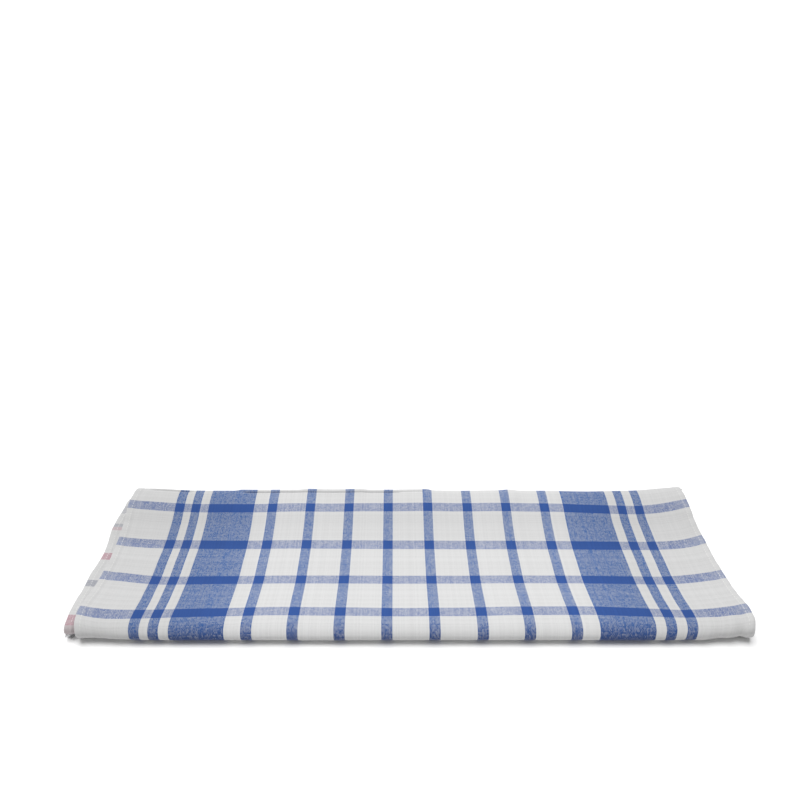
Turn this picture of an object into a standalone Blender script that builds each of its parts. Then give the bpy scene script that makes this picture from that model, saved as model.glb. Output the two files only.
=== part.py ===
"""Tea towel, folded in four and laid flat on a table.

One woven cotton panel is folded across its middle and then across again, which gives four layers:
the outer half lies underneath and on top, and the inner half lies between them. The section runs
from the outer half's hem at the back, along the table, round the front fold, back over the top,
round the back fold, forward under the top layer, round the inner fold and back to the inner hem.

X runs along the front fold, Y runs back from it and Z is up. The part stands on Z = 0 with its
box centred on X = Y = 0.
"""

from collections import namedtuple
from math import cos, pi, sin

import bmesh
import bpy
import numpy as np

MM = 0.001

# The cloth as it is cut and hemmed, and its thickness with the air that soft cotton holds.
TOWEL_WIDTH = 600 * MM
TOWEL_LENGTH = 700 * MM
CLOTH_THICKNESS = 1.1 * MM

# The back fold lies this far behind the towel's own middle line, because it was folded by hand.
BACK_FOLD_PAST_MIDDLE = 6 * MM

# The middle of each layer's thickness, from the crest of the front roll to that of the back fold.
# The lowest layer lies on the table all the way, so it has no column.
Station = namedtuple("Station", "depth inner_bottom inner_top outer_top")
STATIONS = (
    Station(13.0, 2.4, 12.3, 14.2),
    Station(22.0, 2.4, 12.3, 14.0),
    Station(45.0, 2.2, 7.7, 9.4),
    Station(65.0, 2.1, 3.7, 5.3),
    Station(87.0, 2.1, 3.65, 5.2),
    Station(109.0, 2.2, 3.8, 5.5),
    Station(130.0, 2.6, 8.0, 9.9),
    Station(152.0, 3.6, 12.9, 17.0),
    Station(173.0, 5.5, 12.9, 19.8),
)
LOWEST_MIDDLE = CLOTH_THICKNESS / 2

# How far each fold bulges past the stations at its end.
FRONT_FOLD_REACH = 12.4 * MM
INNER_FOLD_REACH = 10.5 * MM
BACK_FOLD_REACH = 4.2 * MM

# The side edges by their distance from the back fold, along the cloth: how far the outer half
# stops short of its full width at the left and right, and how far the inner half lies to the left.
SideLine = namedtuple("SideLine", "from_back_fold left_short right_short inner_to_left")
SIDE_LINES = (
    SideLine(0.0, 4.0, 6.5, 0.0),
    SideLine(10.0, -0.5, 4.2, 6.0),
    SideLine(25.0, -1.2, 3.3, 7.5),
    SideLine(45.0, -1.2, 3.6, 12.3),
    SideLine(70.0, 0.2, 1.0, 13.3),
    SideLine(112.0, 0.6, 0.3, 13.3),
    SideLine(135.0, 1.2, 1.3, 10.5),
    SideLine(155.0, 2.0, 1.6, 8.5),
    SideLine(185.0, 4.0, 4.0, 7.0),
    SideLine(230.0, 3.0, 3.0, 7.0),
    SideLine(360.0, 3.0, 3.0, 7.0),
)

# Turned hems make the pile thicker at its sides, so its top rises there and the roll draws back.
Side = namedtuple("Side", "rise reach draw_back")
LEFT_SIDE = Side(rise=3.5 * MM, reach=60 * MM, draw_back=1.5 * MM)
RIGHT_SIDE = Side(rise=5.5 * MM, reach=65 * MM, draw_back=2.5 * MM)

# Soft unevenness of the pile's height along the folds: share of the height, and wave length.
Wave = namedtuple("Wave", "share length start")
WAVES = (
    Wave(share=0.030, length=310 * MM, start=0.4),
    Wave(share=0.018, length=128 * MM, start=1.9),
    Wave(share=0.012, length=71 * MM, start=0.0),
)

# The grid: columns across the width, and rows along each run of the section.
COLUMNS = 31
CLOSER_AT_SIDES = 0.38
LAYER_ROWS = 15
BOTTOM_ROWS = 8
FOLD_ROWS = 9

CLOTH_COLOUR = (0.72, 0.74, 0.79, 1.0)
CLOTH_ROUGHNESS = 0.9


def clear_scene():
    for item in list(bpy.data.objects):
        bpy.data.objects.remove(item, do_unlink=True)


def column(table, name):
    return np.array([getattr(row, name) for row in table]) * MM


def smooth_curve(places, values, at):
    """A smooth curve through the table's values, level at both of its ends."""
    slopes = np.gradient(values, places)
    slopes[0] = 0.0
    slopes[-1] = 0.0
    span = np.clip(np.searchsorted(places, at, side="right") - 1, 0, len(places) - 2)
    width = places[span + 1] - places[span]
    t = np.clip((at - places[span]) / width, 0.0, 1.0)
    rise = values[span + 1] - values[span]
    start = slopes[span] * width
    end = slopes[span + 1] * width
    return (
        values[span]
        + start * t
        + (3 * rise - 2 * start - end) * t**2
        + (start + end - 2 * rise) * t**3
    )


def layer_height(name, depth):
    """The height of a layer's middle at a distance behind the front fold."""
    return smooth_curve(column(STATIONS, "depth"), column(STATIONS, name), depth)


def layer_run(name, start_depth, end_depth, rows):
    """Points (depth, height) along one layer, its two ends included."""
    depths = np.linspace(start_depth, end_depth, rows + 1)
    return np.column_stack([depths, layer_height(name, depths)])


def half_turn(start, end, reach):
    """Points round a fold that joins two layers' ends, without those ends. Reach is signed."""
    centre = (start + end) / 2
    half_height = (end - start)[1] / 2
    points = []
    for step in range(1, FOLD_ROWS):
        angle = pi * step / FOLD_ROWS
        points.append((centre[0] + reach * sin(angle), centre[1] - half_height * cos(angle)))
    return np.array(points)


def run_length(points):
    return np.linalg.norm(np.diff(points, axis=0), axis=1).sum()


def folded_section():
    """The section's points (depth, height) from hem to hem, and which of them is the back fold."""
    front = STATIONS[0].depth * MM
    back = STATIONS[-1].depth * MM
    outer_top = layer_run("outer_top", front, back, LAYER_ROWS)
    inner_top = layer_run("inner_top", back, front, LAYER_ROWS)
    front_start = np.array((front, LOWEST_MIDDLE))
    inner_end = np.array((front, STATIONS[0].inner_bottom * MM))
    front_fold = half_turn(front_start, outer_top[0], -FRONT_FOLD_REACH)
    back_fold = half_turn(outer_top[-1], inner_top[0], BACK_FOLD_REACH)
    inner_fold = half_turn(inner_top[-1], inner_end, -INNER_FOLD_REACH)

    # What is left of each half lies along the bottom, and ends in a hem at the back.
    half_back_fold = run_length(np.vstack([outer_top[-1], back_fold, inner_top[0]])) / 2
    outer_half = TOWEL_LENGTH / 2 + BACK_FOLD_PAST_MIDDLE
    inner_half = TOWEL_LENGTH - outer_half
    outer_used = half_back_fold + run_length(np.vstack([front_start, front_fold, outer_top]))
    inner_used = half_back_fold + run_length(np.vstack([inner_top, inner_fold, inner_end]))
    outer_hem = front + outer_half - outer_used
    inner_hem = front + inner_half - inner_used
    outer_depths = np.linspace(outer_hem, front, BOTTOM_ROWS + 1)
    outer_bottom = np.column_stack([outer_depths, np.full(BOTTOM_ROWS + 1, LOWEST_MIDDLE)])
    inner_bottom = layer_run("inner_bottom", front, inner_hem, BOTTOM_ROWS)

    before_back_fold = len(outer_bottom) + len(front_fold) + len(outer_top)
    runs = [outer_bottom, front_fold, outer_top, back_fold, inner_top, inner_fold, inner_bottom]
    return np.vstack(runs), before_back_fold + len(back_fold) / 2 - 0.5


def from_back_fold(section, back_fold_row):
    """Each row's distance from the back fold along the cloth: above 0 on the inner half."""
    steps = np.linalg.norm(np.diff(section, axis=0), axis=1)
    travelled = np.concatenate([[0.0], np.cumsum(steps)])
    return travelled - np.interp(back_fold_row, np.arange(len(travelled)), travelled)


def side_line(name, distance):
    return smooth_curve(column(SIDE_LINES, "from_back_fold"), column(SIDE_LINES, name), distance)


def across_place(x, distance):
    """Where a point of the even width lies across the pile, by its row's distance."""
    if distance > 0.0:
        return x - side_line("inner_to_left", distance)
    left = side_share(x, LEFT_SIDE, -1) * side_line("left_short", -distance)
    right = side_share(x, RIGHT_SIDE, 1) * side_line("right_short", -distance)
    return x + left - right


def side_share(x, side, sign):
    """How near a point is to one side of the pile: 0 inside the side's reach, 1 at the edge."""
    inside = TOWEL_WIDTH / 2 - sign * x
    t = np.clip(1.0 - inside / side.reach, 0.0, 1.0)
    return t**2 * (3.0 - 2.0 * t)


def uneven(x, depth, height):
    """Moves a point of the even section to where it lies in the hand-folded pile."""
    left = side_share(x, LEFT_SIDE, -1)
    right = side_share(x, RIGHT_SIDE, 1)
    top = layer_height("outer_top", depth)
    rise = left * LEFT_SIDE.rise + right * RIGHT_SIDE.rise
    for wave in WAVES:
        rise = rise + wave.share * top * sin(2 * pi * x / wave.length + wave.start)
    # The rise fades down to the lowest layer, which stays on the table.
    stretch = (height - LOWEST_MIDDLE) / (top - LOWEST_MIDDLE)
    # The draw back fades from the front fold to the back fold.
    towards_back = np.clip(1.0 - depth / (STATIONS[-1].depth * MM), 0.0, 1.0)
    draw_back = left * LEFT_SIDE.draw_back + right * RIGHT_SIDE.draw_back
    return depth + draw_back * towards_back, height + rise * stretch


def column_places():
    """Places across the width, closer together towards the sides."""
    u = np.linspace(-1.0, 1.0, COLUMNS)
    return TOWEL_WIDTH / 2 * ((1.0 + CLOSER_AT_SIDES) * u - CLOSER_AT_SIDES * u**3)


def cloth_material():
    material = bpy.data.materials.new("woven_cotton")
    material.use_nodes = True
    shader = material.node_tree.nodes["Principled BSDF"]
    shader.inputs["Base Color"].default_value = CLOTH_COLOUR
    shader.inputs["Roughness"].default_value = CLOTH_ROUGHNESS
    shader.inputs["Metallic"].default_value = 0.0
    return material


def folded_cloth():
    """An open grid, one row for each point of the section, moved on to the folds."""
    section, back_fold_row = folded_section()
    distances = from_back_fold(section, back_fold_row)
    across = column_places()
    mesh = bpy.data.meshes.new("folded_cloth")
    grid = bmesh.new()
    bmesh.ops.create_grid(grid, x_segments=COLUMNS - 1, y_segments=len(section) - 1, size=1.0)
    for vertex in grid.verts:
        across_index = round((vertex.co.x + 1.0) / 2 * (COLUMNS - 1))
        row = round((vertex.co.y + 1.0) / 2 * (len(section) - 1))
        x = across_place(across[across_index], distances[row])
        depth, height = uneven(x, section[row][0], section[row][1])
        vertex.co = (x, depth, height)
    bmesh.ops.recalc_face_normals(grid, faces=grid.faces)
    grid.to_mesh(mesh)
    grid.free()
    cloth = bpy.data.objects.new("folded_cloth", mesh)
    mesh.materials.append(cloth_material())
    thickness = cloth.modifiers.new("cloth_thickness", "SOLIDIFY")
    thickness.thickness = CLOTH_THICKNESS
    thickness.offset = 0.0
    thickness.use_even_offset = True
    return cloth


def stand_on_origin(item):
    """Centres the box of the cloth's middle surface on X = Y = 0. Its heights stay as they are."""
    places = np.array([vertex.co for vertex in item.data.vertices])
    centre = (places.min(axis=0) + places.max(axis=0)) / 2
    for vertex in item.data.vertices:
        vertex.co.x -= centre[0]
        vertex.co.y -= centre[1]
    item.data.shade_smooth()


def main():
    clear_scene()
    collection = bpy.data.collections.new("tea_towel")
    bpy.context.scene.collection.children.link(collection)
    cloth = folded_cloth()
    stand_on_origin(cloth)
    collection.objects.link(cloth)


main()
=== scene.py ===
"""The looks of a woven cotton tea towel, folded in four and laid flat on a pale table.

The cloth is one thin sheet on the folds of its solid. Its section, its side lines and its rises
repeat the construction's own sizes with finer rows. Soft troughs and ridges, hems, stitches, a few
loose yarn ends and the woven pattern are added here. X runs along the front fold, Y runs back
from it, and Z is up.
"""

from collections import namedtuple
from math import cos, pi, radians, sin

import bpy
import numpy as np
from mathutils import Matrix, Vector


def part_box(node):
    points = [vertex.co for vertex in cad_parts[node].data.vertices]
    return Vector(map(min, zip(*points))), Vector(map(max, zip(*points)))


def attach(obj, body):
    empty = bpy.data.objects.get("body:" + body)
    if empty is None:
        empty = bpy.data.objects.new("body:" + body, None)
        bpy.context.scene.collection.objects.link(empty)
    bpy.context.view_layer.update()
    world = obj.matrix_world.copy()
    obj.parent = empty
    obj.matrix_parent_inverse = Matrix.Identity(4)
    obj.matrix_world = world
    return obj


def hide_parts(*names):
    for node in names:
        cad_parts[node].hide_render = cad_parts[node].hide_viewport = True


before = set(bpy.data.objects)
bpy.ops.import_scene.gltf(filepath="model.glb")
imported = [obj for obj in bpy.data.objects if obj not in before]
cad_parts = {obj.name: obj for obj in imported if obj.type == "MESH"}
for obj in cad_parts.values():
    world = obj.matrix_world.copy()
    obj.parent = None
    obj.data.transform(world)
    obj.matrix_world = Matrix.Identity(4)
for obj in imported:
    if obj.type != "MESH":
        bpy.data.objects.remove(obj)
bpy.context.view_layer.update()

MM = 0.001
CLOTH_NODE = "folded_cloth"

# ---------------------------------------------------------------- the cloth and its folds

# The cloth as it is cut and hemmed.
TOWEL_WIDTH = 600 * MM
TOWEL_LENGTH = 700 * MM

# The back fold lies this far behind the towel's own middle line, because it was folded by hand.
BACK_FOLD_PAST_MIDDLE = 6 * MM
OUTER_HALF = TOWEL_LENGTH / 2 + BACK_FOLD_PAST_MIDDLE

# The height of each layer's middle above the table, in mm, at depths behind the front: from the
# crest of the front roll to that of the back fold.
Station = namedtuple("Station", "depth inner_bottom inner_top outer_top")
STATIONS = (
    Station(13.0, 2.4, 12.3, 14.2),
    Station(22.0, 2.4, 12.3, 14.0),
    Station(45.0, 2.2, 7.7, 9.4),
    Station(65.0, 2.1, 3.7, 5.3),
    Station(87.0, 2.1, 3.65, 5.2),
    Station(109.0, 2.2, 3.8, 5.5),
    Station(130.0, 2.6, 8.0, 9.9),
    Station(152.0, 3.6, 12.9, 17.0),
    Station(173.0, 5.5, 12.9, 19.8),
)

# The lowest layer lies flat, with the middle of its thickness at this height.
LOWEST_MIDDLE = 0.55 * MM

# How far each fold bulges past the stations at its end.
FRONT_FOLD_REACH = 12.4 * MM
INNER_FOLD_REACH = 8.7 * MM
BACK_FOLD_REACH = 4.2 * MM

# The side edges in mm, by their distance from the back fold along the cloth: how far the outer half
# stops short of its full width at the left and right, and how far the inner half lies to the left.
SideLine = namedtuple("SideLine", "from_back_fold left_short right_short inner_to_left")
SIDE_LINES = (
    SideLine(0.0, 1.0, 5.0, 0.0),
    SideLine(10.0, -0.7, 4.2, 5.5),
    SideLine(25.0, -1.2, 4.2, 7.0),
    SideLine(45.0, -1.2, 2.6, 11.3),
    SideLine(70.0, 0.0, 1.0, 11.0),
    SideLine(95.0, 0.2, 0.4, 10.8),
    SideLine(112.0, 0.4, 0.3, 12.6),
    SideLine(135.0, 0.5, 0.9, 10.0),
    SideLine(155.0, 0.2, 0.9, 8.0),
    SideLine(172.0, 1.8, 0.9, 7.5),
    SideLine(184.0, 4.0, 3.0, 7.4),
    SideLine(193.0, 3.4, 1.2, 6.4),
    SideLine(201.0, 3.0, 0.6, 7.0),
    SideLine(220.0, 3.0, 2.4, 7.0),
    SideLine(360.0, 3.0, 3.0, 7.0),
)

# The cloth's box lies this far to the right of its solid's.
SET_TO_RIGHT = 0.5 * MM

# Turned hems make the pile thicker at its sides, so its top rises there and the roll draws back.
Side = namedtuple("Side", "rise reach draw_back")
LEFT_SIDE = Side(rise=3.5 * MM, reach=60 * MM, draw_back=1.5 * MM)
RIGHT_SIDE = Side(rise=5.5 * MM, reach=65 * MM, draw_back=1.8 * MM)

# Soft unevenness of the pile's height along the folds: each wave's share of the height, its length
# and its start in radians.
Wave = namedtuple("Wave", "share length start")
WAVES = (
    Wave(share=0.030, length=310 * MM, start=0.4),
    Wave(share=0.018, length=128 * MM, start=1.9),
    Wave(share=0.012, length=71 * MM, start=0.0),
)

# Rows along each run of the section, and columns across the width between the hems.
TOP_ROWS = 80
CREST_ROWS = 9
INNER_ROWS = 24
BOTTOM_ROWS = 16
FRONT_FOLD_ROWS = 32
INNER_FOLD_ROWS = 14
BACK_FOLD_ROWS = 25
MIDDLE_COLUMNS = 172

# The last of the top's run, next to the back fold, has the finer rows of CREST_ROWS.
CREST_DEPTH = 5 * MM

# ---------------------------------------------------------------- the hem and the fine relief

# The cloth lies this far above the table.
TABLE_GAP = 0.05 * MM

# The hems' section in mm: the cloth is turned twice, stitched, and rounded at its outer fold.
HemPoint = namedtuple("HemPoint", "from_edge thickness")
HEM_SECTION = (
    HemPoint(0.0, 0.65),
    HemPoint(0.35, 1.15),
    HemPoint(1.1, 1.45),
    HemPoint(2.6, 1.45),
    HemPoint(4.2, 1.35),
    HemPoint(5.2, 1.05),
    HemPoint(6.0, 1.35),
    HemPoint(6.6, 1.3),
    HemPoint(7.1, 0.65),
    HemPoint(8.6, 0.6),
)

# Soft troughs and ridges, placed on the flat cloth: from one point to another, in mm from
# the towel's middle, across it and along it towards the outer hem. Above 0 the cloth stands out.
# The height falls to about a third of itself at the width's distance from the line.
Crease = namedtuple("Crease", "across along to_across to_along width height")
CREASES = (
    # Down the front roll at its left end and its right end, where the hems stiffen it.
    Crease(-286, 160, -283, 196, 3.5, -0.45),
    Crease(-274, 166, -272, 198, 4.0, -0.35),
    Crease(-252, 172, -249, 200, 6.0, -0.30),
    Crease(289.5, 162, 287, 196, 4.2, -1.2),
    Crease(271, 166, 265, 200, 6.0, -0.7),
    Crease(254, 172, 250, 200, 5.0, 0.3),
    Crease(240, 176, 237, 202, 6.0, -0.4),
    # Where the inner half goes in under the outer one, next to the front fold. Its outer face
    # is the hidden one here, so a trough in the face that shows is above 0.
    Crease(-289.5, -168, -290.0, -194, 1.5, 3.0),
    # Beside the two raised hems on top.
    Crease(-288, 20, -289, 150, 4.0, -0.30),
    Crease(287, 25, 288, 150, 4.5, -0.35),
    # A thin trough along the back fold's crest at its left end.
    Crease(-282, -0.5, -238, -0.5, 0.9, -2.3),
    # The back fold stands higher left of the middle, as a second crest behind a thin trough.
    Crease(-185, -4, 18, -4, 4.5, 1.3),
    Crease(-112, -3, -55, -3, 7.0, 1.2),
    Crease(-182, 0.4, -12, 0.2, 0.9, -2.4),
    Crease(-12, 0.2, 16, 0.0, 0.9, -1.2),
    # One small pinch in the back fold.
    Crease(108, -5, 112, 7, 6.0, 1.1),
)

# The seam gathers each hem a little: waves along it, in mm, which die out into the cloth. Each
# starts at an angle in radians, which differs by this much between one hem and the one opposite.
Pucker = namedtuple("Pucker", "length start height")
PUCKERS = (
    Pucker(11.0, 0.3, 0.15),
    Pucker(17.5, 2.1, 0.13),
    Pucker(29.0, 4.0, 0.12),
)
PUCKER_REACH = 9 * MM
OPPOSITE_START = 1.7

# Below this height the layers above press the gathers down, the lowest of them to this share.
FREE_HEIGHT = 9 * MM
PRESSED_SHARE = 0.15

# The weft holds the side edges out at each bar and lets them draw in between.
SIDE_SCALLOP = 0.45 * MM
SCALLOP_REACH = 14 * MM

# The weft bows: how far it lies, in mm, from where a straight one would, towards the outer hem.
# There is a row for the middle and each bar, and one for either edge of the bar above the front
# roll. The columns are places across the cloth, named for what is there.
Bow = namedtuple(
    "Bow",
    "along left_edge left_hem left_margin left_band left_of_middle middle "
    "right_of_middle right_band right_margin right_hem right_edge",
)
BOW_PLACES = Bow(None, -300, -280, -245, -190, -95, 0, 95, 190, 245, 280, 300)
BOWS = (
    Bow(0.0, 0, 0, 0, 0, -1.0, -1.0, -0.6, 0, 1.0, 1.0, 0),
    Bow(22.1, -2.6, -0.8, 0, 0.1, -1.6, -1.3, -1.2, 0, 2.6, 1.4, -2.0),
    Bow(66.3, -2.4, -0.9, -1.7, -1.2, -1.9, -1.0, -0.7, -0.4, 0.3, 1.2, -3.0),
    Bow(110.5, -3.3, -2.0, -0.1, -0.7, -1.8, -1.2, -1.7, -1.3, -0.1, -0.2, -2.6),
    Bow(149.5, 0.3, 3.2, 1.3, -0.9, -3.3, -1.2, -3.1, -3.0, 1.4, 2.3, 0),
    Bow(159.9, -0.3, 2.6, 0.3, -2.2, -4.2, -2.5, -3.5, -3.6, -1.0, 0.9, -0.6),
    Bow(198.9, -0.3, 2.6, 0.3, -2.2, -4.2, -2.5, -3.5, -3.6, -1.0, 0.9, -0.6),
)

# The warp sways: how far the stripes at each side lie to the right of straight, in mm, at
# distances from the towel's middle towards the outer hem. It sways most at SWAY_MOST_AT from the
# middle across, and less towards the middle and the hems.
Sway = namedtuple("Sway", "along left right")
SWAYS = (
    Sway(7.0, 0.8, -0.85),
    Sway(35.0, 1.7, -1.35),
    Sway(49.0, 1.2, -0.1),
    Sway(77.0, 0.5, 1.1),
    Sway(90.0, 0.5, 1.0),
    Sway(120.0, 1.0, 0.6),
    Sway(134.0, 1.9, -0.4),
    Sway(141.0, 2.3, -0.6),
    Sway(165.0, 1.5, -0.3),
    Sway(171.0, 1.5, -0.95),
    Sway(177.0, 1.7, -2.0),
)
SWAY_MOST_AT = 240 * MM

# Low on the front roll the stripes draw together: by what share of their distance from the middle.
DrawnIn = namedtuple("DrawnIn", "along share")
DRAWN_IN = (
    DrawnIn(162.0, 0.0),
    DrawnIn(170.0, 0.003),
    DrawnIn(177.0, 0.008),
    DrawnIn(185.0, 0.018),
    DrawnIn(200.0, 0.020),
)


def column(table, name):
    """One column of a table in mm, as metres."""
    return np.array([getattr(row, name) for row in table]) * MM


def smooth_curve(places, values, at, level_ends=True):
    """A smooth curve through the table's values, level at both of its ends unless told not."""
    slopes = np.gradient(values, places)
    if level_ends:
        slopes[0] = 0.0
        slopes[-1] = 0.0
    span = np.clip(np.searchsorted(places, at, side="right") - 1, 0, len(places) - 2)
    width = places[span + 1] - places[span]
    t = np.clip((at - places[span]) / width, 0.0, 1.0)
    rise = values[span + 1] - values[span]
    start = slopes[span] * width
    end = slopes[span + 1] * width
    return (
        values[span]
        + start * t
        + (3 * rise - 2 * start - end) * t**2
        + (start + end - 2 * rise) * t**3
    )


def layer_height(name, depth):
    """The height of a layer's middle at a distance behind the front fold."""
    return smooth_curve(column(STATIONS, "depth"), column(STATIONS, name), depth)


def layer_run(name, start_depth, end_depth, rows):
    """Points (depth, height) along one layer, its two ends included."""
    depths = np.linspace(start_depth, end_depth, rows + 1)
    return np.column_stack([depths, layer_height(name, depths)])


def half_turn(start, end, reach, rows):
    """Points round a fold that joins two layers' ends, without those ends. Reach is signed."""
    centre = (start + end) / 2
    half_height = (end - start)[1] / 2
    points = []
    for step in range(1, rows):
        angle = pi * step / rows
        points.append((centre[0] + reach * sin(angle), centre[1] - half_height * cos(angle)))
    return np.array(points)


def run_length(points):
    """The length of the line through the points."""
    return np.linalg.norm(np.diff(points, axis=0), axis=1).sum()


def folded_section():
    """The section's points (depth, height) from hem to hem, and which of them is the back fold."""
    front = STATIONS[0].depth * MM
    back = STATIONS[-1].depth * MM
    crest = back - CREST_DEPTH
    outer_top = np.vstack(
        [
            layer_run("outer_top", front, crest, TOP_ROWS)[:-1],
            layer_run("outer_top", crest, back, CREST_ROWS),
        ]
    )
    inner_top = layer_run("inner_top", back, front, INNER_ROWS)
    front_start = np.array((front, LOWEST_MIDDLE))
    inner_end = np.array((front, STATIONS[0].inner_bottom * MM))
    front_fold = half_turn(front_start, outer_top[0], -FRONT_FOLD_REACH, FRONT_FOLD_ROWS)
    back_fold = half_turn(outer_top[-1], inner_top[0], BACK_FOLD_REACH, BACK_FOLD_ROWS + 1)
    inner_fold = half_turn(inner_top[-1], inner_end, -INNER_FOLD_REACH, INNER_FOLD_ROWS)

    # What is left of each half lies along the bottom, and ends in a hem at the back.
    half_back_fold = run_length(np.vstack([outer_top[-1], back_fold, inner_top[0]])) / 2
    inner_half = TOWEL_LENGTH - OUTER_HALF
    outer_used = half_back_fold + run_length(np.vstack([front_start, front_fold, outer_top]))
    inner_used = half_back_fold + run_length(np.vstack([inner_top, inner_fold, inner_end]))
    outer_hem = front + OUTER_HALF - outer_used
    inner_hem = front + inner_half - inner_used
    outer_depths = np.linspace(outer_hem, front, BOTTOM_ROWS + 1)
    outer_bottom = np.column_stack([outer_depths, np.full(BOTTOM_ROWS + 1, LOWEST_MIDDLE)])
    inner_bottom = layer_run("inner_bottom", front, inner_hem, BOTTOM_ROWS)

    before_back_fold = len(outer_bottom) + len(front_fold) + len(outer_top)
    runs = [outer_bottom, front_fold, outer_top, back_fold, inner_top, inner_fold, inner_bottom]
    return np.vstack(runs), before_back_fold + len(back_fold) / 2 - 0.5


def from_back_fold(section, back_fold_row):
    """Each row's distance from the back fold along the cloth: above 0 on the inner half."""
    steps = np.linalg.norm(np.diff(section, axis=0), axis=1)
    travelled = np.concatenate([[0.0], np.cumsum(steps)])
    return travelled - np.interp(back_fold_row, np.arange(len(travelled)), travelled)


def side_line(name, distance):
    """A column of the side lines at distances from the back fold."""
    return smooth_curve(column(SIDE_LINES, "from_back_fold"), column(SIDE_LINES, name), distance)


def side_share(across, side, sign):
    """How near a point is to one side of the pile: 0 inside the side's reach, 1 at the edge."""
    inside = TOWEL_WIDTH / 2 - sign * across
    t = np.clip(1.0 - inside / side.reach, 0.0, 1.0)
    return t**2 * (3.0 - 2.0 * t)


def folded_places(across, section, distances):
    """Where each point of the cloth lies, row by row: an array of rows x columns x 3."""
    a, d = np.meshgrid(across, distances)
    depth = np.repeat(section[:, :1], len(across), axis=1)
    height = np.repeat(section[:, 1:], len(across), axis=1)
    left = side_share(a, LEFT_SIDE, -1)
    right = side_share(a, RIGHT_SIDE, 1)
    outer_x = a + left * side_line("left_short", -d) - right * side_line("right_short", -d)
    x = np.where(d > 0.0, a - side_line("inner_to_left", d), outer_x)

    # The rise fades down to the lowest layer, and the draw back fades towards the back fold.
    top = layer_height("outer_top", depth)
    rise = left * LEFT_SIDE.rise + right * RIGHT_SIDE.rise
    for wave in WAVES:
        rise = rise + wave.share * top * np.sin(2 * pi * x / wave.length + wave.start)
    stretch = (height - LOWEST_MIDDLE) / (top - LOWEST_MIDDLE)
    towards_back = np.clip(1.0 - depth / (STATIONS[-1].depth * MM), 0.0, 1.0)
    draw_back = left * LEFT_SIDE.draw_back + right * RIGHT_SIDE.draw_back
    return np.stack([x, depth + draw_back * towards_back, height + rise * stretch], axis=-1)


def column_places():
    """Places across the width: close together over each hem, and even between them."""
    from_edge = column(HEM_SECTION, "from_edge")
    inner = TOWEL_WIDTH / 2 - from_edge[-1]
    middle = np.linspace(-inner, inner, MIDDLE_COLUMNS + 1)[1:-1]
    return np.concatenate([from_edge - TOWEL_WIDTH / 2, middle, TOWEL_WIDTH / 2 - from_edge[::-1]])


def centre_on_frame(places):
    """Puts the cloth where its solid stands: both boxes have one centre along, and across it lies
    a little to the right, as its side lines are finer than the solid's."""
    low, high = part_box(CLOTH_NODE)
    flat = places.reshape(-1, 3)
    middle = (flat.min(axis=0) + flat.max(axis=0)) / 2
    places[..., 0] += (low.x + high.x) / 2 - middle[0] + SET_TO_RIGHT
    places[..., 1] += (low.y + high.y) / 2 - middle[1]


def outward(places):
    """The cloth's unit normals on its outer face."""
    along = np.gradient(places, axis=0)
    across = np.gradient(places, axis=1)
    normals = np.cross(across, along)
    return normals / np.linalg.norm(normals, axis=-1, keepdims=True)


def relief(across, towards_hem):
    """The height of the creases at points of the flat cloth."""
    height = np.zeros_like(across)
    for crease in CREASES:
        start = np.array((crease.across, crease.along)) * MM
        line = np.array((crease.to_across, crease.to_along)) * MM - start
        reach = np.linalg.norm(line)
        u = across - start[0]
        v = towards_hem - start[1]
        t = (u * line[0] + v * line[1]) / reach**2
        beside = (u * line[1] - v * line[0]) / reach
        past_end = np.maximum(np.abs(t - 0.5) - 0.5, 0.0) * reach
        width = crease.width * MM
        height += crease.height * MM * np.exp(-(beside**2 + past_end**2) / width**2)
    return height


def gathers(across, along):
    """The height of the waves that the seam makes in the four hems."""
    height = np.zeros_like(across)
    hems = ((TOWEL_WIDTH / 2, across, along), (TOWEL_LENGTH / 2, along, across))
    for reach, from_middle, beside in hems:
        near = np.exp(-(((reach - np.abs(from_middle)) / PUCKER_REACH) ** 2))
        opposite = np.where(from_middle > 0, OPPOSITE_START, 0.0)
        for pucker in PUCKERS:
            wave = np.sin(2 * pi * beside / (pucker.length * MM) + pucker.start + opposite)
            height += pucker.height * MM * near * wave
    return height


def scallop(across, along):
    """How far the side edges stand out at the bars, and draw in between them."""
    near = np.exp(-(((TOWEL_WIDTH / 2 - np.abs(across)) / SCALLOP_REACH) ** 2))
    return -np.cos(2 * pi * along / BAR_PITCH) * near * np.sign(across) * SIDE_SCALLOP


def hem_thickness(across, along):
    """The cloth's thickness, by each point's distance from the nearest edge."""
    inside = np.minimum(TOWEL_WIDTH / 2 - np.abs(across), TOWEL_LENGTH / 2 - np.abs(along))
    return np.interp(inside, column(HEM_SECTION, "from_edge"), column(HEM_SECTION, "thickness"))


def weave_places(across, along):
    """Where each point of the cloth is in the weave, which bows and sways a little."""
    bow_places = np.array(BOW_PLACES[1:]) * MM
    bows = [
        smooth_curve(bow_places, np.array(row[1:]) * MM, across, level_ends=False) for row in BOWS
    ]
    rows = column(BOWS, "along")
    bow = np.column_stack([np.interp(along, rows, lags) for lags in np.array(bows).T])
    from_middle = np.abs(across)
    inside = np.clip(from_middle / SWAY_MOST_AT, 0.0, 1.0)
    half_width = TOWEL_WIDTH / 2
    outside = np.clip((half_width - from_middle) / (half_width - SWAY_MOST_AT), 0.0, 1.0)
    share = inside**4 * outside**2 * (3 - 2 * outside)
    left = smooth_curve(column(SWAYS, "along"), column(SWAYS, "left"), along)
    right = smooth_curve(column(SWAYS, "along"), column(SWAYS, "right"), along)
    sway = np.where(across < 0, left[:, None], right[:, None]) * share
    drawn_in = np.interp(along, column(DRAWN_IN, "along"), [row.share for row in DRAWN_IN])
    flat_across, flat_along = np.meshgrid(across, along)
    woven_across = flat_across * (1 + drawn_in[:, None]) - sway
    return np.stack([woven_across, flat_along - bow], axis=-1)


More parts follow.
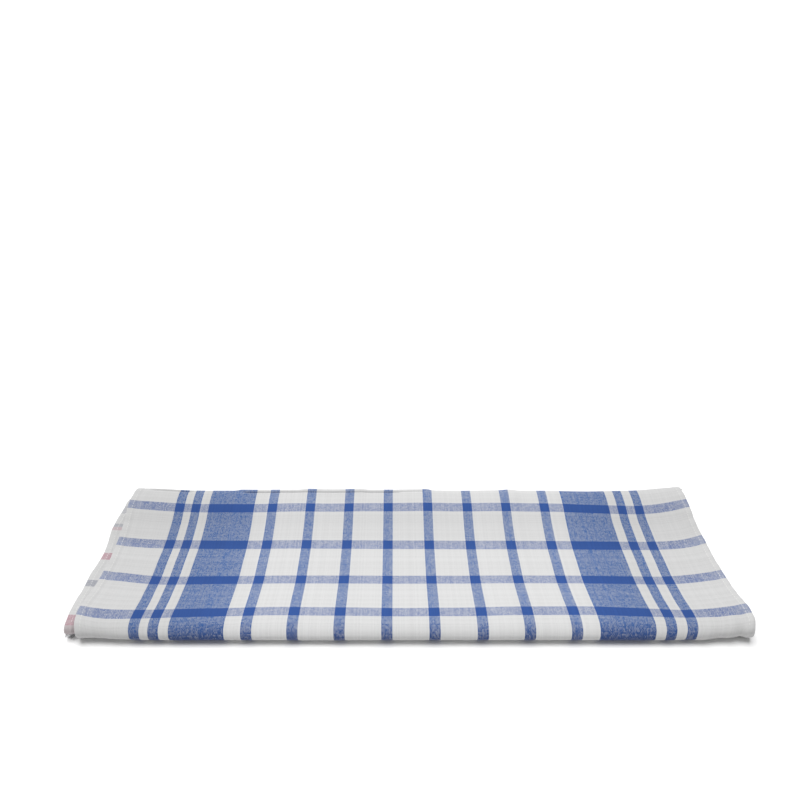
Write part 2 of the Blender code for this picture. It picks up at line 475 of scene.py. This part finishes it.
Cloth = namedtuple("Cloth", "across along places normals")


def laid_cloth():
    """The cloth's middle surface: its columns, its rows, and where each of its points lies."""
    section, back_fold_row = folded_section()
    distances = from_back_fold(section, back_fold_row)
    across = column_places()
    along = -distances - BACK_FOLD_PAST_MIDDLE
    places = folded_places(across, section, distances)
    centre_on_frame(places)
    flat_across, flat_along = np.meshgrid(across, along)
    places[..., 0] += scallop(flat_across, flat_along)
    freedom = np.clip(places[..., 2] / FREE_HEIGHT, PRESSED_SHARE, 1.0)
    rise = relief(flat_across, flat_along) + gathers(flat_across, flat_along) * freedom
    places += outward(places) * rise[..., None]

    # Nothing reaches below the table.
    lowest = hem_thickness(flat_across, flat_along) / 2 + TABLE_GAP
    places[..., 2] = np.maximum(places[..., 2], lowest)
    return Cloth(across, along, places, outward(places))


def cloth_sheet(cloth, material):
    """The woven cloth: a grid moved on to the folds, thickened, with its hems thicker."""
    rows, columns = cloth.places.shape[:2]
    bpy.ops.object.select_all(action="DESELECT")
    bpy.ops.mesh.primitive_grid_add(x_subdivisions=columns - 1, y_subdivisions=rows - 1, size=2)
    sheet = bpy.context.object
    sheet.name = "woven_cloth"
    mesh = sheet.data
    mesh.name = "woven_cloth"
    start = np.empty(len(mesh.vertices) * 3)
    mesh.vertices.foreach_get("co", start)
    start = start.reshape(-1, 3)
    at_column = np.rint((start[:, 0] + 1) / 2 * (columns - 1)).astype(int)
    at_row = np.rint((start[:, 1] + 1) / 2 * (rows - 1)).astype(int)
    mesh.vertices.foreach_set("co", cloth.places[at_row, at_column].ravel())

    # The pattern's own map: places in the weave, in metres from the towel's middle.
    mesh.uv_layers[0].name = "weave"
    corners = np.empty(len(mesh.loops), dtype=int)
    mesh.loops.foreach_get("vertex_index", corners)
    woven = weave_places(cloth.across, cloth.along)[at_row, at_column]
    mesh.uv_layers[0].uv.foreach_set("vector", woven[corners].ravel())

    thicken(sheet, hem_thickness(cloth.across[at_column], cloth.along[at_row]))
    mesh.materials.append(material)
    mesh.shade_smooth()
    return sheet


def thicken(sheet, thickness):
    """Gives the sheet each point's own thickness."""
    group = sheet.vertex_groups.new(name="cloth_thickness")
    for index, share in enumerate(thickness / thickness.max()):
        group.add([index], share, "REPLACE")
    solidify = sheet.modifiers.new("cloth_thickness", "SOLIDIFY")
    solidify.thickness = thickness.max()
    solidify.offset = 0.0
    solidify.use_even_offset = True
    solidify.vertex_group = group.name
    bpy.ops.object.modifier_apply(modifier=solidify.name)


def on_cloth(cloth, values, across, along):
    """Values of the cloth's grid at points of the flat cloth, read between rows and columns."""
    column_place = np.interp(across, cloth.across, np.arange(len(cloth.across)))
    row_place = np.interp(-along, -cloth.along, np.arange(len(cloth.along)))
    c = np.minimum(column_place.astype(int), len(cloth.across) - 2)
    r = np.minimum(row_place.astype(int), len(cloth.along) - 2)
    to_right = (column_place - c)[:, None]
    to_next = (row_place - r)[:, None]
    near = values[r, c] * (1 - to_right) + values[r, c + 1] * to_right
    far = values[r + 1, c] * (1 - to_right) + values[r + 1, c + 1] * to_right
    return near * (1 - to_next) + far * to_next


# ---------------------------------------------------------------- stitches and loose yarn ends

# The seams' stitches: how far apart they start, the share of that which each fills, and its size.
STITCH_PITCH = 3.0 * MM
STITCH_SHARE = 0.80
STITCH_WIDTH = 0.5 * MM
STITCH_HEIGHT = 0.4 * MM
SEAM_FROM_EDGE = 5.2 * MM

# Ends of loose yarn under the front roll's left end, in mm: where each comes out, where it bends
# and where it stops.
YarnEnd = namedtuple("YarnEnd", "x y z bend_x bend_y bend_z end_x end_y end_z")
YARN_ENDS = (
    YarnEnd(-297.0, -76.0, 1.9, -301.2, -77.6, 1.8, -304.6, -78.0, 1.0),
    YarnEnd(-297.0, -76.8, 1.6, -301.2, -79.4, 1.5, -304.0, -80.2, 0.8),
    YarnEnd(-296.5, -77.4, 1.4, -300.0, -80.6, 1.3, -303.0, -81.6, 0.6),
    YarnEnd(-296.0, -78.2, 1.2, -298.6, -81.4, 1.1, -300.6, -82.6, 0.6),
    YarnEnd(-297.5, -75.4, 1.6, -302.0, -76.2, 1.5, -305.4, -75.8, 0.9),
    YarnEnd(-296.5, -77.4, 0.9, -300.2, -78.8, 0.8, -303.4, -79.6, 0.5),
    YarnEnd(-295.5, -78.6, 0.8, -297.4, -81.2, 0.8, -298.8, -82.6, 0.5),
    YarnEnd(-295.0, -79.2, 0.6, -296.0, -81.4, 0.6, -296.4, -82.8, 0.5),
)
YARN_WIDTH = 0.6 * MM

# Each is made of this many short lengths, stretched this much so that they join.
YARN_STEPS = 6
YARN_OVERLAP = 1.3

Thread = namedtuple("Thread", "starts ends ups")


def seam_lines():
    """The flat cloth's four seams as (across, along) points, one for each end of a stitch."""
    side = TOWEL_WIDTH / 2 - SEAM_FROM_EDGE
    end = TOWEL_LENGTH / 2 - SEAM_FROM_EDGE
    lines = []
    for sign in (-1, 1):
        along = np.arange(-end, end, STITCH_PITCH)
        lines.append((np.full_like(along, sign * side), along))
        across = np.arange(-side, side, STITCH_PITCH)
        lines.append((across, np.full_like(across, sign * end)))
    return lines


def short_thread():
    """The points and faces of a short rounded length of thread, one unit long, wide and high."""
    bpy.ops.object.select_all(action="DESELECT")
    bpy.ops.mesh.primitive_uv_sphere_add(segments=6, ring_count=4, radius=0.5)
    thread = bpy.context.object
    points = np.array([vertex.co[:] for vertex in thread.data.vertices])
    faces = [tuple(face.vertices) for face in thread.data.polygons]
    bpy.data.objects.remove(thread)
    return points, faces


def joined_threads(name, threads, share, width, height, material):
    """One mesh of short threads, each of which fills that share of its way from start to end."""
    shape, faces = short_thread()
    points = []
    for thread in threads:
        middle = (thread.starts + thread.ends) / 2
        line = thread.ends - thread.starts
        reach = np.linalg.norm(line, axis=1, keepdims=True)
        beside = np.cross(thread.ups, line / reach)
        for place, forward, sideways, up in zip(middle, line * share, beside, thread.ups):
            laid = (
                place
                + shape[:, 2:] * forward
                + shape[:, :1] * sideways * width
                + shape[:, 1:2] * up * height
            )
            laid[:, 2] = np.maximum(laid[:, 2], TABLE_GAP)
            points.append(laid)
    size = len(shape)
    all_faces = [tuple(i + size * k for i in face) for k in range(len(points)) for face in faces]
    mesh = bpy.data.meshes.new(name)
    mesh.from_pydata(np.vstack(points).tolist(), [], all_faces)
    mesh.materials.append(material)
    mesh.shade_smooth()
    item = bpy.data.objects.new(name, mesh)
    bpy.context.scene.collection.objects.link(item)
    return item


def hem_stitches(cloth, material):
    """Both faces' stitches along the four hems."""
    threads = []
    for across, along in seam_lines():
        places = on_cloth(cloth, cloth.places, across, along)
        normals = on_cloth(cloth, cloth.normals, across, along)
        half = hem_thickness(across, along)[:, None] / 2
        for face in (-1, 1):
            line = places + normals * half * face
            threads.append(Thread(line[:-1], line[1:], normals[1:] * face))
    return joined_threads(
        "hem_stitches", threads, STITCH_SHARE, STITCH_WIDTH, STITCH_HEIGHT, material
    )


def loose_yarn_ends(material):
    """Frayed yarn that comes out from under the roll's left end and lies on the table."""
    threads = []
    for yarn in YARN_ENDS:
        start, bend, end = np.array(yarn).reshape(3, 3) * MM
        t = np.linspace(0.0, 1.0, YARN_STEPS + 1)[:, None]
        line = start * (1 - t) ** 2 + bend * 2 * t * (1 - t) + end * t**2
        upwards = np.tile((0.0, 0.0, 1.0), (YARN_STEPS, 1))
        threads.append(Thread(line[:-1], line[1:], upwards))
    return joined_threads(
        "loose_yarn_ends", threads, YARN_OVERLAP, YARN_WIDTH, YARN_WIDTH, material
    )


# ---------------------------------------------------------------- materials


def colour(hex_value):
    """An sRGB hex value as linear red, green, blue and alpha."""
    channels = [int(hex_value[i : i + 2], 16) / 255 for i in (0, 2, 4)]
    return [c / 12.92 if c <= 0.04045 else ((c + 0.055) / 1.055) ** 2.4 for c in channels] + [1.0]


def add_node(tree, kind, inputs=None, **settings):
    """Adds a node and returns its first output in use. An input's value may be another's output."""
    made = tree.nodes.new(kind)
    for name, value in settings.items():
        setattr(made, name, value)
    shown = [socket for socket in made.inputs if socket.enabled]
    for key, value in (inputs or {}).items():
        socket = shown[key] if isinstance(key, int) else next(s for s in shown if s.name == key)
        if isinstance(value, bpy.types.NodeSocket):
            tree.links.new(value, socket)
        else:
            socket.default_value = value
    return next((socket for socket in made.outputs if socket.enabled), None)


def new_material(name, finish):
    """A material, its nodes and its shader. The finish is set on the shader's own inputs."""
    material = bpy.data.materials.new(name)
    material.use_nodes = True
    shader = material.node_tree.nodes["Principled BSDF"]
    for name_of_input, value in finish.items():
        shader.inputs[name_of_input].default_value = value
    return material, material.node_tree, shader


# Warp stripes, in steps of the narrow stripes' pitch from the pattern's middle. The ones next to
# the hems are a little narrower, and their warp is set as close as in the wide ones.
STRIPE_PITCH = 41.8 * MM
PATTERN_MIDDLE = -3.0 * MM
NARROW_STRIPE = 0.236
NARROW = (-3.47, -2.497, -1.505, -0.5, 0.513, 1.526, 2.517, 3.508)
NARROW_AT_SIDES = (-5.86, -5.447, 5.508, 5.953)
SIDE_STRIPE_SHARE = 0.95
WIDE = ((-5.12, -3.943), (3.995, 5.18))

# Weft bars, in steps of their own pitch from the towel's middle. The outer half and both ends
# have blue ones, and the inner half, which shows at the left, has pale red and grey-blue ones,
# some of them with white yarns between their dyed ones. Those are in mm.
BAR_PITCH = 44.2 * MM
NARROW_BAR = 0.235
BLUE_BARS = (0.5, 1.5, 2.5, 3.5, 4.5, 6.35, 6.8, -6.35, -6.8)
WIDE_BARS = ((4.9, 6.05), (-6.05, -4.9))
InnerBar = namedtuple("InnerBar", "start end yarn dyed_share")
INNER_BARS = (
    InnerBar(-30.0, -40.0, "grey", 0.45),
    InnerBar(-52.3, -56.2, "grey", 0.60),
    InnerBar(-56.2, -60.2, "red", 0.55),
    InnerBar(-87.8, -96.8, "red", 1.0),
    InnerBar(-122.4, -131.8, "grey", 0.85),
    InnerBar(-169.4, -179.0, "red", 1.0),
    InnerBar(-179.0, -188.0, "red", 0.4),
)

# The real yarns lie about 0.55 mm apart, which is too fine to show, so they are drawn about twice
# as coarse. A yarn is thick here and thin there, by short lengths.
WARP_PITCH = 0.95 * MM
WEFT_PITCH = 1.15 * MM
SLUB_LENGTH = 3.2 * MM

# The yarns wander by about a quarter of this each way, and this many times to the metre.
WANDER = 1.6 * MM
WANDERS_PER_METRE = 260.0

# Added to the weft's numbers, so that no weft yarn gets the same chance as a warp yarn.
WEFT_NUMBERS_APART = 0.37

# The share of the cloth's face that is warp: in a narrow stripe, a wide one and between them.
NARROW_WARP = 0.735
WIDE_WARP = 0.79
PLAIN_WARP = 0.465

# Beside the hems the warp is looser and shows less, between these distances from the middle.
MARGIN_WARP = 0.39
MARGIN_FROM = 251 * MM
MARGIN_FULL = 264 * MM
MARGIN_FULL_TO = 277 * MM
MARGIN_TO = 292 * MM

# Round the front roll the warp covers that much more of the weft, between these places along
# it: painted shade that darkens the blue stripes there.
ROLL_SHADE_WARP = 0.18
BEND_FROM = 160 * MM
BEND_FULL = 184 * MM
BEND_FULL_TO = 196 * MM
BEND_TO = 212 * MM

# How much the warp's share differs at random, from the least to the most: from one crossing to
# the next, from one yarn to the next, and between a yarn's thick and thin lengths.
GRAIN_CONTRAST = 0.22
WARP_CONTRAST = 0.11
WEFT_CONTRAST = 0.06
WARP_SLUB_CONTRAST = 0.06
WEFT_SLUB_CONTRAST = 0.09

# How much it rises and falls as the yarns cross one over one, and how open a crossing may be.
CROSSING_CONTRAST = 0.06
LEAST_OPEN = 0.2
MOST_OPEN = 1.8

# How much stronger crossings and grain are round the front roll, and beside the hems.
BEND_CONTRAST = 0.55
MARGIN_CONTRAST = 0.4

# No two yarns are equally bright. Painted shade makes the cloth's outer quarters a slightly duller
# white, from and to these places across it.
DIMMEST_YARN = 0.945
BRIGHTEST_YARN = 1.055
PAINTED_SHADE_FROM = 140 * MM
PAINTED_SHADE_TO = 215 * MM
PAINTED_MARGIN_SHADE = 0.885

# How far a yarn's crown stands above the places between yarns, and how deep sewing cotton's twist
# is. That twist, and the fray of loose yarn, are patches of which this many make a metre.
YARN_CROWN = 0.15 * MM
TWIST_DEPTH = 0.1 * MM
TWISTS_PER_METRE = 900.0
FRAYS_PER_METRE = 350.0


def banded(tree, position, bands):
    """Each band's own value where the position is within it, and 0 between bands."""
    total = None
    for middle, reach, value in bands:
        inside = add_node(
            tree, "ShaderNodeMath", {0: position, 1: middle, 2: reach}, operation="COMPARE"
        )
        if total is None:
            total = add_node(tree, "ShaderNodeMath", {0: inside, 1: value}, operation="MULTIPLY")
        else:
            total = add_node(
                tree, "ShaderNodeMath", {0: inside, 1: value, 2: total}, operation="MULTIPLY_ADD"
            )
    return total


def band(start, end, step, value):
    """A band from start to end, in steps, as its middle, its reach each way and its value."""
    return ((start + end) / 2 * step, abs(end - start) / 2 * step, value)


def warp_stripes(tree, across):
    """In each stripe, how much more of the cloth's face is warp than elsewhere."""
    stripes = []
    for places, width, share in (
        (NARROW, 1.0, NARROW_WARP),
        (NARROW_AT_SIDES, SIDE_STRIPE_SHARE, WIDE_WARP),
    ):
        reach = NARROW_STRIPE * width / 2
        stripes += [
            band(place - reach, place + reach, STRIPE_PITCH, share - PLAIN_WARP)
            for place in places
        ]
    stripes += [band(start, end, STRIPE_PITCH, WIDE_WARP - PLAIN_WARP) for start, end in WIDE]
    from_middle = add_node(
        tree, "ShaderNodeMath", {0: across, 1: PATTERN_MIDDLE}, operation="SUBTRACT"
    )
    return banded(tree, from_middle, stripes)


def weft_bars(tree, along):
    """The dyed share of the weft in each blue, red and grey bar: three outputs."""
    blue = [
        band(place - NARROW_BAR / 2, place + NARROW_BAR / 2, BAR_PITCH, 1.0) for place in BLUE_BARS
    ]
    blue += [band(start, end, BAR_PITCH, 1.0) for start, end in WIDE_BARS]
    kinds = [blue]
    for yarn in ("red", "grey"):
        bars = [bar for bar in INNER_BARS if bar.yarn == yarn]
        kinds.append([band(bar.start, bar.end, MM, bar.dyed_share) for bar in bars])
    return [banded(tree, along, bands) for bands in kinds]


def within(tree, position, begins, full, full_to, ends):
    """1 between two positions, and softly down to 0 on either side of them."""
    begun, over = (
        add_node(
            tree,
            "ShaderNodeMapRange",
            {0: position, 1: start, 2: end, 3: 0.0, 4: 1.0},
            interpolation_type="SMOOTHSTEP",
        )
        for start, end in ((begins, full), (full_to, ends))
    )
    return add_node(tree, "ShaderNodeMath", {0: begun, 1: over}, operation="SUBTRACT")


def yarn_places(tree, place):
    """A place counted in yarns across and along, with their wandering."""
    noise = add_node(
        tree, "ShaderNodeTexNoise", {"Vector": place, "Scale": WANDERS_PER_METRE, "Detail": 1.0}
    ).node
    either_way = add_node(
        tree,
        "ShaderNodeVectorMath",
        {0: noise.outputs["Color"], 1: (0.5, 0.5, 0.5)},
        operation="SUBTRACT",
    )
    wandered = add_node(
        tree,
        "ShaderNodeVectorMath",
        {0: either_way, 1: (WANDER, WANDER, 0), 2: place},
        operation="MULTIPLY_ADD",
    )
    return add_node(
        tree,
        "ShaderNodeVectorMath",
        {0: wandered, 1: (1 / WARP_PITCH, 1 / WEFT_PITCH, 0)},
        operation="MULTIPLY",
    )


def yarn_chances(tree, yarns):
    """A chance between 0 and 1 for each crossing, each warp yarn and each weft yarn."""
    numbers = add_node(tree, "ShaderNodeVectorMath", {0: yarns}, operation="FLOOR")
    number = add_node(tree, "ShaderNodeSeparateXYZ", {0: numbers}).node
    weft_number = add_node(
        tree, "ShaderNodeMath", {0: number.outputs["Y"], 1: WEFT_NUMBERS_APART}, operation="ADD"
    )
    crossing = add_node(
        tree, "ShaderNodeTexWhiteNoise", {"Vector": numbers}, noise_dimensions="2D"
    )
    warp = add_node(
        tree, "ShaderNodeTexWhiteNoise", {"W": number.outputs["X"]}, noise_dimensions="1D"
    )
    weft = add_node(tree, "ShaderNodeTexWhiteNoise", {"W": weft_number}, noise_dimensions="1D")
    return crossing, warp, weft


def slub_chances(tree, place):
    """A chance between 0 and 1 for each short length of a warp yarn, and of a weft yarn."""
    chances = []
    for pitches in ((1 / WARP_PITCH, 1 / SLUB_LENGTH, 0), (1 / SLUB_LENGTH, 1 / WEFT_PITCH, 0)):
        lengths = add_node(
            tree, "ShaderNodeVectorMath", {0: place, 1: pitches}, operation="MULTIPLY"
        )
        numbers = add_node(tree, "ShaderNodeVectorMath", {0: lengths}, operation="FLOOR")
        chances.append(
            add_node(tree, "ShaderNodeTexWhiteNoise", {"Vector": numbers}, noise_dimensions="2D")
        )
    return chances


def crossing_wave(tree, yarns):
    """1 where a warp yarn passes over the weft, -1 where it passes under, and 0 between yarns."""
    phases = add_node(
        tree, "ShaderNodeVectorMath", {0: yarns, 1: (pi, pi, 0)}, operation="MULTIPLY"
    )
    waves = add_node(tree, "ShaderNodeVectorMath", {0: phases}, operation="SINE")
    wave = add_node(tree, "ShaderNodeSeparateXYZ", {0: waves}).node
    return add_node(
        tree, "ShaderNodeMath", {0: wave.outputs["X"], 1: wave.outputs["Y"]}, operation="MULTIPLY"
    )


def warp_share(tree, stripe, margin, bend, uneven):
    """How much of the cloth's face is warp, single crossings apart. Each pair in uneven is a
    chance and the most that the share differs by it."""
    share = add_node(tree, "ShaderNodeMath", {0: stripe, 1: PLAIN_WARP}, operation="ADD")
    # Less warp beside the hems, and more round the front roll as painted shade of the blue stripes.
    for where, more in ((margin, MARGIN_WARP - PLAIN_WARP), (bend, ROLL_SHADE_WARP)):
        share = add_node(
            tree, "ShaderNodeMath", {0: where, 1: more, 2: share}, operation="MULTIPLY_ADD"
        )
    for chance, effect in uneven:
        either_way = add_node(tree, "ShaderNodeMath", {0: chance, 1: 0.5}, operation="SUBTRACT")
        share = add_node(
            tree, "ShaderNodeMath", {0: either_way, 1: effect, 2: share}, operation="MULTIPLY_ADD"
        )
    return share


def warp_on_top(tree, share, crossing, chance, margin, bend):
    """The warp's share from crossing to crossing: 1 where only warp shows, 0 where only weft does.
    Some crossings are more open than others."""
    openness = add_node(
        tree,
        "ShaderNodeMapRange",
        {
            0: chance,
            1: 0.0,
            2: 1.0,
            3: LEAST_OPEN * CROSSING_CONTRAST,
            4: MOST_OPEN * CROSSING_CONTRAST,
        },
    )
    grain = add_node(
        tree,
        "ShaderNodeMath",
        {0: chance, 1: GRAIN_CONTRAST, 2: -GRAIN_CONTRAST / 2},
        operation="MULTIPLY_ADD",
    )
    grain = add_node(
        tree, "ShaderNodeMath", {0: crossing, 1: openness, 2: grain}, operation="MULTIPLY_ADD"
    )
    contrast = add_node(
        tree, "ShaderNodeMath", {0: bend, 1: BEND_CONTRAST, 2: 1.0}, operation="MULTIPLY_ADD"
    )
    contrast = add_node(
        tree,
        "ShaderNodeMath",
        {0: margin, 1: MARGIN_CONTRAST, 2: contrast},
        operation="MULTIPLY_ADD",
    )
    return add_node(
        tree,
        "ShaderNodeMath",
        {0: grain, 1: contrast, 2: share},
        operation="MULTIPLY_ADD",
        use_clamp=True,
    )


def yarn_colours(tree, stripe, along, bend):
    """The warp's colour and the weft's. Blue yarn looks deepest where it crosses blue yarn, because
    white yarn lights what it crosses. Round the front roll the blue warp is painted a darker,
    greyer blue as shade."""
    white, deep_blue, roll_shade_blue = colour("CBCBCB"), colour("2F5091"), colour("2C447A")
    blue_bar, red_bar, grey_bar = weft_bars(tree, along)
    in_stripe = add_node(
        tree,
        "ShaderNodeMath",
        {0: stripe, 1: (NARROW_WARP - PLAIN_WARP) / 2},
        operation="GREATER_THAN",
    )
    warp_blue = add_node(
        tree,
        "ShaderNodeMix",
        {0: blue_bar, "A": colour("325B97"), "B": deep_blue},
        data_type="RGBA",
    )
    # Painted shade: round the front roll the blue warp turns darker and greyer.
    warp_blue = add_node(
        tree, "ShaderNodeMix", {0: bend, "A": warp_blue, "B": roll_shade_blue}, data_type="RGBA"
    )
    warp = add_node(
        tree, "ShaderNodeMix", {0: in_stripe, "A": white, "B": warp_blue}, data_type="RGBA"
    )
    weft_blue = add_node(
        tree,
        "ShaderNodeMix",
        {0: in_stripe, "A": colour("305495"), "B": deep_blue},
        data_type="RGBA",
    )
    weft = white
    for bar, dye in (
        (blue_bar, weft_blue),
        (red_bar, colour("A86277")),
        (grey_bar, colour("555D79")),
    ):
        weft = add_node(tree, "ShaderNodeMix", {0: bar, "A": weft, "B": dye}, data_type="RGBA")
    return warp, weft


def woven_cotton():
    """Plain-woven cotton: matt, with a faint bloom of loose fibre, and yarns that cross one over
    one. A blue stripe is blue where its warp lies on top and white where the weft does."""
    material, tree, shader = new_material(
        "woven_cotton_plain_weave",
        {
            "Roughness": 0.88,
            "Specular IOR Level": 0.25,
            "Sheen Weight": 0.08,
            "Sheen Roughness": 0.5,
        },
    )
    place = add_node(tree, "ShaderNodeUVMap", uv_map="weave")
    split = add_node(tree, "ShaderNodeSeparateXYZ", {0: place}).node
    across, along = split.outputs["X"], split.outputs["Y"]
    from_middle = add_node(tree, "ShaderNodeMath", {0: across}, operation="ABSOLUTE")
    margin = within(tree, from_middle, MARGIN_FROM, MARGIN_FULL, MARGIN_FULL_TO, MARGIN_TO)
    # The front roll, where the blue stripes get painted shade and the grain is stronger.
    bend = within(tree, along, BEND_FROM, BEND_FULL, BEND_FULL_TO, BEND_TO)

    # Which yarn lies on top, and its colour.
    yarns = yarn_places(tree, place)
    crossing = crossing_wave(tree, yarns)
    crossing_chance, warp_chance, weft_chance = yarn_chances(tree, yarns)
    warp_slub, weft_slub = slub_chances(tree, place)
    stripe = warp_stripes(tree, across)
    uneven = (
        (warp_chance, WARP_CONTRAST),
        (weft_chance, -WEFT_CONTRAST),
        (warp_slub, WARP_SLUB_CONTRAST),
        (weft_slub, -WEFT_SLUB_CONTRAST),
    )
    share = warp_share(tree, stripe, margin, bend, uneven)
    on_top = warp_on_top(tree, share, crossing, crossing_chance, margin, bend)
    warp_colour, weft_colour = yarn_colours(tree, stripe, along, bend)
    top_colour = add_node(
        tree, "ShaderNodeMix", {0: on_top, "A": weft_colour, "B": warp_colour}, data_type="RGBA"
    )

    # Each yarn has its own brightness, and painted shade makes the cloth's outer quarters duller.
    top_chance = add_node(
        tree, "ShaderNodeMix", {0: on_top, "A": weft_chance, "B": warp_chance}, data_type="FLOAT"
    )
    own_brightness = add_node(
        tree,
        "ShaderNodeMapRange",
        {0: top_chance, 1: 0.0, 2: 1.0, 3: DIMMEST_YARN, 4: BRIGHTEST_YARN},
    )
    # Painted shade: the white grows duller towards the margins.
    painted_margin_shade = add_node(
        tree,
        "ShaderNodeMapRange",
        {0: from_middle, 1: PAINTED_SHADE_FROM, 2: PAINTED_SHADE_TO, 3: 1.0, 4: PAINTED_MARGIN_SHADE},
        interpolation_type="SMOOTHSTEP",
    )
    brightness = add_node(
        tree, "ShaderNodeMath", {0: own_brightness, 1: painted_margin_shade}, operation="MULTIPLY"
    )
    cloth_colour = add_node(
        tree, "ShaderNodeVectorMath", {0: top_colour, "Scale": brightness}, operation="SCALE"
    )
    tree.links.new(cloth_colour, shader.inputs["Base Color"])

    roundness = add_node(tree, "ShaderNodeMath", {0: crossing}, operation="ABSOLUTE")
    bump = add_node(
        tree, "ShaderNodeBump", {"Strength": 0.35, "Distance": YARN_CROWN, "Height": roundness}
    )
    tree.links.new(bump, shader.inputs["Normal"])
    return material


def sewing_cotton():
    """Three-ply white sewing cotton: slightly brighter and smoother than the cloth, and mottled,
    because its twist is too fine to show as ridges."""
    material, tree, shader = new_material(
        "three_ply_sewing_cotton", {"Roughness": 0.75, "Specular IOR Level": 0.3}
    )
    place = add_node(tree, "ShaderNodeTexCoord").node.outputs["Object"]
    speckle = add_node(
        tree, "ShaderNodeTexNoise", {"Vector": place, "Scale": TWISTS_PER_METRE, "Detail": 1.0}
    )
    thread = add_node(
        tree,
        "ShaderNodeMix",
        {0: speckle, "A": colour("CFCFCC"), "B": colour("E4E4E2")},
        data_type="RGBA",
    )
    tree.links.new(thread, shader.inputs["Base Color"])
    bump = add_node(
        tree, "ShaderNodeBump", {"Strength": 0.2, "Distance": TWIST_DEPTH, "Height": speckle}
    )
    tree.links.new(bump, shader.inputs["Normal"])
    return material


def frayed_cotton():
    """Loose cotton yarn, matt and fuzzy, grey-blue in some patches and white in others."""
    material, tree, shader = new_material(
        "frayed_cotton_yarn", {"Roughness": 0.9, "Specular IOR Level": 0.2}
    )
    place = add_node(tree, "ShaderNodeTexCoord").node.outputs["Object"]
    patches = add_node(
        tree, "ShaderNodeTexNoise", {"Vector": place, "Scale": FRAYS_PER_METRE, "Detail": 2.0}
    )
    yarn = add_node(
        tree,
        "ShaderNodeMix",
        {0: patches, "A": colour("7E7F85"), "B": colour("C2C2C4")},
        data_type="RGBA",
    )
    tree.links.new(yarn, shader.inputs["Base Color"])
    return material


# ---------------------------------------------------------------- table, light and camera

# The table is so wide that the camera sees nothing past it.
TABLE_SIDE = 200.0

# The light's strengths, and how wide the soft light is, how far behind the towel it stands and how
# far to its left, in degrees.
SKY_STRENGTH = 0.29
SUN_STRENGTH = 3.2
SUN_SPREAD = 48
SUN_BACK = 13.5
SUN_LEFT = 7

# The camera's place and pitch come from fitting the towel's evenly spaced stripes and bars. It
# looks at this column of the image. The focal length is in pixels, and the pitch in degrees.
IMAGE_SIDE = 800
FOCAL_LENGTH = 603
CENTRE_COLUMN = 394.6
CAMERA_PLACE = (-10.2 * MM, -405.7 * MM, 476.4 * MM)
CAMERA_PITCH = 34.3


def matt_white_paint():
    """A table painted matt white: it gives back nearly all light and shows no gloss."""
    return new_material(
        "matt_white_paint",
        {"Base Color": colour("F9F9F9"), "Roughness": 0.9, "Specular IOR Level": 0.1},
    )[0]


def wide_table():
    """A plain pale floor under the towel."""
    bpy.ops.object.select_all(action="DESELECT")
    bpy.ops.mesh.primitive_plane_add(size=TABLE_SIDE, location=(0, 0, 0))
    floor = bpy.context.object
    floor.name = "floor"
    floor.data.materials.append(matt_white_paint())


def soft_light():
    """One very wide soft light from above, a little behind the towel, and a pale room around."""
    world = bpy.data.worlds.new("studio")
    world.use_nodes = True
    world.node_tree.nodes["Background"].inputs["Color"].default_value = (1, 1, 1, 1)
    world.node_tree.nodes["Background"].inputs["Strength"].default_value = SKY_STRENGTH
    bpy.context.scene.world = world
    lamp = bpy.data.lights.new("overhead_softbox", "SUN")
    lamp.energy = SUN_STRENGTH
    lamp.angle = radians(SUN_SPREAD)
    item = bpy.data.objects.new("overhead_softbox", lamp)
    item.rotation_euler = (radians(-SUN_BACK), radians(-SUN_LEFT), 0)
    bpy.context.scene.collection.objects.link(item)


def camera():
    """The camera, in front of the towel and above it, that looks down at it along Y."""
    lens = bpy.data.cameras.new("camera")
    lens.sensor_width = 36.0
    lens.lens = FOCAL_LENGTH * lens.sensor_width / IMAGE_SIDE
    lens.shift_x = (IMAGE_SIDE / 2 - CENTRE_COLUMN) / IMAGE_SIDE
    lens.clip_start = 0.01
    lens.clip_end = 300.0
    item = bpy.data.objects.new("camera", lens)
    item.location = CAMERA_PLACE
    item.rotation_euler = (radians(90 - CAMERA_PITCH), 0, 0)
    bpy.context.scene.collection.objects.link(item)
    bpy.context.scene.camera = item


camera()
soft_light()
wide_table()
laid = laid_cloth()
cloth = cloth_sheet(laid, woven_cotton())
stitches = hem_stitches(laid, sewing_cotton())
yarn_ends = loose_yarn_ends(frayed_cotton())
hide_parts(CLOTH_NODE)
for piece in (cloth, stitches, yarn_ends):
    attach(piece, "root")

# The plain view transform shows colours as their hex values give them.
bpy.context.scene.view_settings.view_transform = "Standard"
